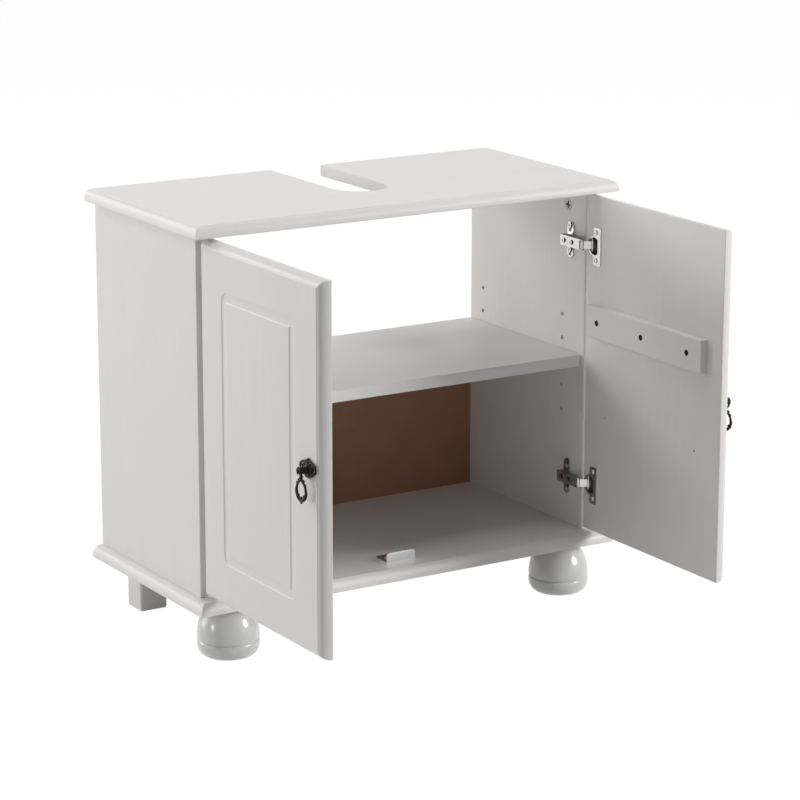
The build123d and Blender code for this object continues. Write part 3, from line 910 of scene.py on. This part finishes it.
@dataclass
class Hinges:
    """Four concealed hinges with their plates, arms, links and cups."""

    bench: Bench
    arris: float = 0.22 * MM
    screw_arris: float = 0.1 * MM
    flange_depth: float = 1.9 * MM
    # Faces whose normal rises past this take painted shade.
    facing_up: float = 0.6
    screw_face: float = 0.6
    bowl_floor: float = 0.7

    def build(self) -> None:
        """Soften the sheet parts and dress the pins and screws."""
        looks = self.bench.finishes
        for side in Side:
            for level in ("lower", "upper"):
                tag = f"{level}_{side.tag}"
                for part in ("plate", "arm", "link"):
                    self.bench.soften(
                        f"hinge_{part}_{tag}",
                        [looks.nickel, looks.cut_edge],
                        "nickel",
                        self.arris,
                        # Upward faces take the darker nickel as painted shade.
                        second=lambda face: face.normal.z > self.facing_up,
                    )
                self._cup(side, tag)
            self.bench.dress(f"cup_screws_{side.tag}", looks.nickel)
            self.bench.dress(f"cup_pins_{side.tag}", looks.nickel)
        self.bench.dress("arm_pins", looks.nickel)
        for node in ("hinge_adjust_screws", "hinge_plate_screws"):
            self._screws(node)

    def _screws(self, node: str) -> None:
        """Soften screws and paint shade on the walls of their recesses, in the black finish.

        Args:
            node: The node's name.
        """
        looks = self.bench.finishes
        self.bench.soften(
            node,
            [looks.nickel, looks.black],
            "zinc",
            self.screw_arris,
            # Recess walls take the black finish as painted shade.
            second=lambda face: abs(face.normal.x) < self.screw_face,
        )

    def _cup(self, side: Side, tag: str) -> None:
        """Soften one cup, with painted shade in its bowl and on its upward faces.

        Args:
            side: The cabinet's side.
            tag: The ending of the hinge's node names.
        """
        looks = self.bench.finishes
        low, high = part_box(f"hinge_cup_{tag}")
        flange = low.x if side is Side.RIGHT else high.x

        def sunk(face: bmesh.types.BMFace) -> bool:
            """Tell the faces that take painted shade from other faces: the bowl's walls and upward
            faces.

            Args:
                face: A face of the cup.

            Returns:
                Whether the face is one of them.
            """
            deep = abs(face.calc_center_median().x - flange) > self.flange_depth
            wall = abs(face.normal.x) < self.bowl_floor
            return (deep and wall) or face.normal.z > self.facing_up

        self.bench.soften(
            f"hinge_cup_{tag}", [looks.nickel, looks.shadowed], "nickel", self.arris, second=sunk
        )


@dataclass
class Doors:
    """Two doors with a batten and its screws on each inner face."""

    bench: Bench
    arris: float = 0.55 * MM

    def build(self) -> None:
        """Ease both doors' arrises and dress them."""
        looks = self.bench.finishes
        for side in Side:
            self.bench.soften(f"door_{side.tag}", [looks.board_upright], "white_board", self.arris)
            self.bench.dress(f"door_batten_{side.tag}", looks.board_deep)
            self.bench.dress(f"batten_screws_{side.tag}", looks.black)


@dataclass
class DropHandle:
    """An ornamental drop handle: a pierced plate, a turned post and a hanging drop.

    The centre and the door's face are in metres, and all else is in millimetres. The rods of
    the scroll, the skirt and the loop are given by points across and up, or down for the loop,
    each with the rod's radius there. Turned forms are given by radius and height, and the
    drop's beads by their places and half sizes.
    """

    bench: Bench
    side: Side
    centre: Vector = field(init=False)
    face: float = field(init=False)
    pin_out: float = field(init=False)
    pin_up: float = field(init=False)
    plate_out: float = 2.3
    scroll: tuple[Triple, ...] = (
        (2.4, 11.0, 1.0),
        (6.2, 9.2, 1.2),
        (9.6, 8.6, 1.25),
        (13.2, 7.4, 1.25),
        (16.6, 5.6, 1.25),
        (17.9, 2.0, 1.25),
        (16.6, -1.8, 1.2),
        (13.4, -2.6, 1.15),
        (11.2, -0.4, 1.05),
        (12.0, 2.8, 0.95),
        (14.4, 3.4, 0.9),
    )
    skirt: tuple[Triple, ...] = (
        (13.4, -2.2, 0.9),
        (11.8, -4.6, 1.2),
        (9.2, -6.2, 1.25),
        (6.4, -7.2, 1.2),
        (4.0, -9.0, 1.2),
        (0.0, -9.4, 1.2),
    )
    loop: tuple[Triple, ...] = (
        (0.0, 11.6, 1.4),
        (4.2, 13.2, 1.35),
        (8.2, 16.8, 1.4),
        (10.6, 21.6, 1.55),
        (10.9, 26.0, 1.8),
        (9.2, 30.6, 2.0),
        (4.6, 34.6, 2.1),
        (0.0, 36.4, 2.1),
    )
    post_foot: tuple[Pair, ...] = (
        (4.3, 2.8),
        (6.9, 2.8),
        (7.3, 3.5),
        (7.0, 4.2),
        (6.0, 4.8),
        (4.8, 5.2),
        (4.3, 5.6),
    )
    post_collar: tuple[Pair, ...] = ((4.1, 6.1), (4.8, 6.4), (5.0, 6.9), (4.8, 7.4), (4.1, 7.7))
    post_cap: tuple[Pair, ...] = (
        (0.0, 14.25),
        (4.4, 14.25),
        (5.0, 14.4),
        (5.1, 14.8),
        (4.7, 15.3),
        (3.3, 15.6),
        (1.6, 15.75),
        (0.0, 15.75),
    )
    fork_up: float = 1.7
    fork_half: float = 1.85
    eye: tuple[Pair, ...] = (
        (1.1, -1.45),
        (2.3, -1.45),
        (2.7, -0.9),
        (2.7, 0.9),
        (2.3, 1.45),
        (1.1, 1.45),
        (1.1, -1.45),
    )
    neck: tuple[Pair, ...] = (
        (0.0, -13.0),
        (1.8, -12.8),
        (2.5, -11.8),
        (2.1, -10.6),
        (1.6, -9.7),
        (2.1, -8.8),
        (2.6, -7.8),
        (2.2, -6.6),
        (1.4, -6.0),
        (1.3, -3.6),
        (0.0, -3.2),
    )
    tip: tuple[Pair, ...] = (
        (0.0, -39.6),
        (1.0, -39.3),
        (1.6, -38.4),
        (1.2, -37.5),
        (1.8, -36.6),
        (2.2, -35.4),
        (0.0, -34.4),
    )
    beads: tuple[tuple[Pair, Triple], ...] = (
        ((4.6, 12.0), (1.9, 2.2, 2.1)),
        ((8.7, 16.0), (1.5, 1.7, 2.1)),
        ((10.9, 24.6), (1.7, 1.9, 2.8)),
        ((6.4, 29.6), (1.6, 1.9, 1.7)),
        ((9.3, 30.8), (1.6, 1.7, 2.0)),
    )
    low_bead: tuple[float, Triple] = (33.2, (1.7, 2.2, 2.6))

    def _at(self, across: float, up: float, out: float) -> Vector:
        """A point by the right door, from the handle's centre, in millimetres."""
        return Vector((self.face + out * MM, self.centre.y + across * MM, self.centre.z + up * MM))

    def _turned(self, across: float, up: float, out: float, spin: float = 0.0) -> Matrix:
        """A place on the door for a turned or drawn-out form.

        Args:
            across: How far to the free side of the handle's centre, in millimetres.
            up: How far above it.
            out: How far out of the door.
            spin: How far the form is turned about its own Z, in degrees.

        Returns:
            The place: its Z stands out of the door and its X points up.
        """
        basis = Matrix(((0, 0, 1), (0, -1, 0), (1, 0, 0))).to_4x4()
        turn = basis @ Matrix.Rotation(math.radians(spin), 4, "Z")
        return Matrix.Translation(self._at(across, up, out)) @ turn

    def build(self) -> None:
        """Make the plate, the post and the drop."""
        low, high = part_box(f"handle_plate_{self.side.tag}")
        sign = self.side.value
        stud_low, stud_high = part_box(f"handle_stud_{self.side.tag}")
        self.centre = (stud_low + stud_high) / 2
        self.face = min(sign * low.x, sign * high.x)
        pin_low, pin_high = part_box(f"drop_pin_{self.side.tag}")
        pin = (pin_low + pin_high) / 2
        self.pin_out = (sign * pin.x - self.face) / MM
        self.pin_up = (pin.z - self.centre.z) / MM
        self._plate()
        self._post()
        self._drop()
        looks = self.bench.finishes
        self.bench.dress(f"handle_stud_{self.side.tag}", looks.zinc)
        self.bench.dress(f"drop_pin_{self.side.tag}", looks.bronze)

    def _finish(self, shape: Shape, name: str, body: str, nodes: Sequence[str]) -> None:
        """Hang a finished shape on its body.

        Args:
            shape: The right-hand shape.
            name: The piece's name without its side.
            body: The body's name without its side.
            nodes: The nodes that it replaces, without their side.
        """
        tag = self.side.tag
        shape.reflected(self.side).done(
            f"{name}_{tag}",
            [self.bench.finishes.bronze],
            f"{body}_{tag}",
            "bronze",
            [f"{node}_{tag}" for node in nodes],
            crease=55.0,
        )

    def _leaf(
        self,
        shape: Shape,
        place: Pair,
        size: Pair,
        rise: float,
        lean: float,
    ) -> None:
        """Add a leaf or boss to the plate.

        Args:
            shape: The plate.
            place: Its middle across and above the handle's centre, in millimetres.
            size: Its half length and half width.
            rise: How far it stands out of the door.
            lean: How far its length leans from upright, in degrees.
        """
        radii = (size[0] * MM, size[1] * MM, rise / 2 * MM)
        shape.bead(radii, self._turned(*place, rise / 2, lean), steps=24)

    def _plate(self) -> None:
        """The pierced plate: a boss, leaves above, a shell below and a scroll on each side."""
        shape = Shape()
        self._leaf(shape, (0, 0), (8.2, 8.4), 4.6, 0)
        leaves = ((0, 8.0, (4.6, 2.4)), (30, 6.6, (4.6, 2.1)), (-30, 6.6, (4.6, 2.1)))
        for lean, reach, size in leaves:
            angle = math.radians(lean)
            place = (-math.sin(angle) * reach, math.cos(angle) * reach)
            self._leaf(shape, place, size, 4.0, lean)
        self._leaf(shape, (0, 12.0), (1.5, 1.3), 3.6, 0)
        for lean in (-56, -28, 0, 28, 56):
            angle = math.radians(lean)
            place = (math.sin(angle) * 6.4, -math.cos(angle) * 5.6 - 0.8)
            self._leaf(shape, place, (3.8, 1.9), 3.8, lean)
        for hand in (-1, 1):
            for line in (self.scroll, self.skirt):
                points = [self._at(hand * across, up, self.plate_out) for across, up, _ in line]
                shape.rod(points, [radius * MM for _, _, radius in line], False, Matrix.Identity(4))
            self._leaf(shape, (hand * 8.6, 4.6), (2.2, 3.4), 3.4, hand * 20)
            self._leaf(shape, (hand * 9.2, -3.2), (1.9, 2.6), 3.2, -hand * 25)
        self._finish(shape, "pierced_plate", "door", ["handle_plate"])

    def _post(self) -> None:
        """Collars and a domed, forked cap round the forked post."""
        shape = Shape()
        place = self._turned(0, 0, 0)
        for profile in (self.post_foot, self.post_collar):
            shape.lathe(metres(profile), place, steps=32)
        crown = (self.fork_up * MM, 0.0, 0.0)
        above, below = (crown, (1.0, 0.0, 0.0)), (crown, (-1.0, 0.0, 0.0))
        sides = [((0.0, hand * self.fork_half * MM, 0.0), (0.0, hand, 0.0)) for hand in (-1, 1)]
        for keep in ([above], [below, sides[0]], [below, sides[1]]):
            shape.lathe(metres(self.post_cap), place, steps=32, keep=keep)
        self._finish(shape, "post_collars", "door", [])
        self.bench.dress(f"handle_post_{self.side.tag}", self.bench.finishes.bronze)

    def _drop(self) -> None:
        """The drop: an eye on its pin, a beaded neck and a pear-shaped loop with a pointed foot."""
        shape = Shape()
        out = self.pin_out
        along = Matrix.Translation(self._at(0, self.pin_up, out))
        along = along @ Matrix.Rotation(math.pi / 2, 4, "X")
        shape.lathe(metres(self.eye), along, steps=28)
        upright = Matrix.Translation(self._at(0, 0, out))
        shape.lathe(metres(self.neck), upright, steps=24)
        half = [(across, -down, radius) for across, down, radius in self.loop]
        ring = half + [(-across, up, radius) for across, up, radius in reversed(half[1:-1])]
        points = [self._at(across, up, out) for across, up, _ in ring]
        shape.rod(points, [radius * MM for _, _, radius in ring], True, Matrix.Identity(4))
        low_down, low_size = self.low_bead
        placed = [((hand * x, down), size) for (x, down), size in self.beads for hand in (-1, 1)]
        for (across, down), size in [*placed, ((0.0, low_down), low_size)]:
            place = Matrix.Translation(self._at(across, -down, out))
            shape.bead(tuple(half * MM for half in size), place, steps=16)
        shape.lathe(metres(self.tip), upright, steps=16)
        self._finish(shape, "drop", "drop", ["handle_drop"])


# --- Floor, lamps and camera


@dataclass(frozen=True)
class Softbox:
    """A soft square lamp."""

    name: str
    place: Triple
    size: float
    power: float
    aim: Triple = (0.0, 0.0, 0.3)

    def make(self) -> None:
        """Hang the lamp."""
        data = bpy.data.lights.new(self.name, "AREA")
        data.size = self.size
        data.energy = self.power
        lamp = bpy.data.objects.new(self.name, data)
        lamp.location = self.place
        towards = Vector(self.aim) - Vector(self.place)
        lamp.rotation_euler = towards.to_track_quat("-Z", "Y").to_euler()
        bpy.context.scene.collection.objects.link(lamp)


@dataclass
class Studio:
    """A pale floor and backdrop, soft lamps and the photograph's camera."""

    place: Triple = (-1.9806, -3.16905, 1.2495)
    yaw: float = 0.5560
    pitch: float = 0.2492
    roll: float = 0.0014
    pixels: float = 800.0
    focus_pixels: float = 3054.7
    sensor: float = 36.0
    near: float = 0.05
    far: float = 100.0
    ambient: float = 0.01
    floor_half: float = 14.0
    floor_colour: Triple = (0.80, 0.80, 0.80)
    floor_shade: Triple = (0.79, 0.79, 0.79)
    floor_glow: float = 1.09
    floor_glow_share: float = 0.9
    lamps: tuple[Softbox, ...] = (
        Softbox("right_front", (2.6, -2.6, 1.55), 1.2, 94.0),
        Softbox("left", (-3.55, 0.1, 0.95), 0.6, 15.0),
        Softbox("rear_low", (-2.4, 2.6, 0.9), 1.6, 27.0),
        Softbox("rear_high", (-2.0, 3.0, 2.2), 1.6, 42.0),
        Softbox("high_left", (-2.4, 1.0, 3.2), 1.6, 13.0),
        Softbox("overhead", (0.0, 0.2, 3.6), 2.4, 50.0),
    )

    def build(self) -> None:
        """Set the whole scene."""
        self._camera()
        self._world()
        self._floor()
        for lamp in self.lamps:
            lamp.make()
        bpy.context.scene.view_settings.view_transform = "Standard"

    def _camera(self) -> None:
        """Stand the camera where the photograph was taken from, with no shift."""
        data = bpy.data.cameras.new("camera")
        data.sensor_width = self.sensor
        data.lens = self.focus_pixels / self.pixels * self.sensor
        data.clip_start, data.clip_end = self.near, self.far
        camera = bpy.data.objects.new("camera", data)
        turn = Matrix.Rotation(-self.yaw, 4, "Z")
        turn = turn @ Matrix.Rotation(math.pi / 2 - self.pitch, 4, "X")
        turn = turn @ Matrix.Rotation(self.roll, 4, "Z")
        camera.matrix_world = Matrix.Translation(self.place) @ turn
        bpy.context.scene.collection.objects.link(camera)
        bpy.context.scene.camera = camera

    @staticmethod
    def _seen(net: Network) -> Signal:
        """1 for rays by which the camera, gloss or glass sees a surface, and else 0.

        Args:
            net: The network.

        Returns:
            The share.
        """
        rays = [
            net.add("ShaderNodeLightPath", output=f"Is {kind} Ray")
            for kind in ("Camera", "Glossy", "Transmission")
        ]
        return (rays[0] + rays[1] + rays[2]).at_most(1.0)

    def _world(self) -> None:
        """White to look at, and a plain grey light on the object."""
        world = bpy.data.worlds.new("studio")
        bpy.context.scene.world = world
        net = Network(world)
        strength = self._seen(net) * (1.0 - self.ambient) + self.ambient
        net.finish(
            net.add("ShaderNodeBackground", inputs={"Color": WHITE, "Strength": strength}),
            "ShaderNodeOutputWorld",
        )

    def _floor(self) -> None:
        """A pale floor that keeps a soft shadow and fades into the white."""
        material = bpy.data.materials.new("pale_floor")
        net = Network(material)
        clouds = net.noise(net.place((3, 3, 3)), 2.0)
        colour = net.blend(clouds, self.floor_colour, self.floor_shade)
        paint = net.add("ShaderNodeBsdfDiffuse", inputs={"Color": colour})
        glow = net.add("ShaderNodeEmission", inputs={"Color": WHITE, "Strength": self.floor_glow})
        share = self._seen(net) * self.floor_glow_share
        net.finish(net.add("ShaderNodeMixShader", inputs={0: share, 1: paint, 2: glow}))
        mesh = bmesh.new()
        bmesh.ops.create_grid(mesh, x_segments=2, y_segments=2, size=self.floor_half)
        data = bpy.data.meshes.new("floor")
        mesh.to_mesh(data)
        mesh.free()
        data.materials.append(material)
        floor = bpy.data.objects.new("floor", data)
        bpy.context.scene.collection.objects.link(floor)


def main() -> None:
    """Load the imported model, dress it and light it."""
    logging.basicConfig(level=logging.INFO, format="%(name)s %(message)s")
    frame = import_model()
    bench = Bench(frame["nodes"], Finishes())
    Studio().build()
    for part in (Carcass(bench), Feet(bench), DoorStop(bench), Hinges(bench), Doors(bench)):
        part.build()
        log.info("%s done", type(part).__name__)
    for side in Side:
        DropHandle(bench, side).build()


if __name__ == "__main__":
    main()
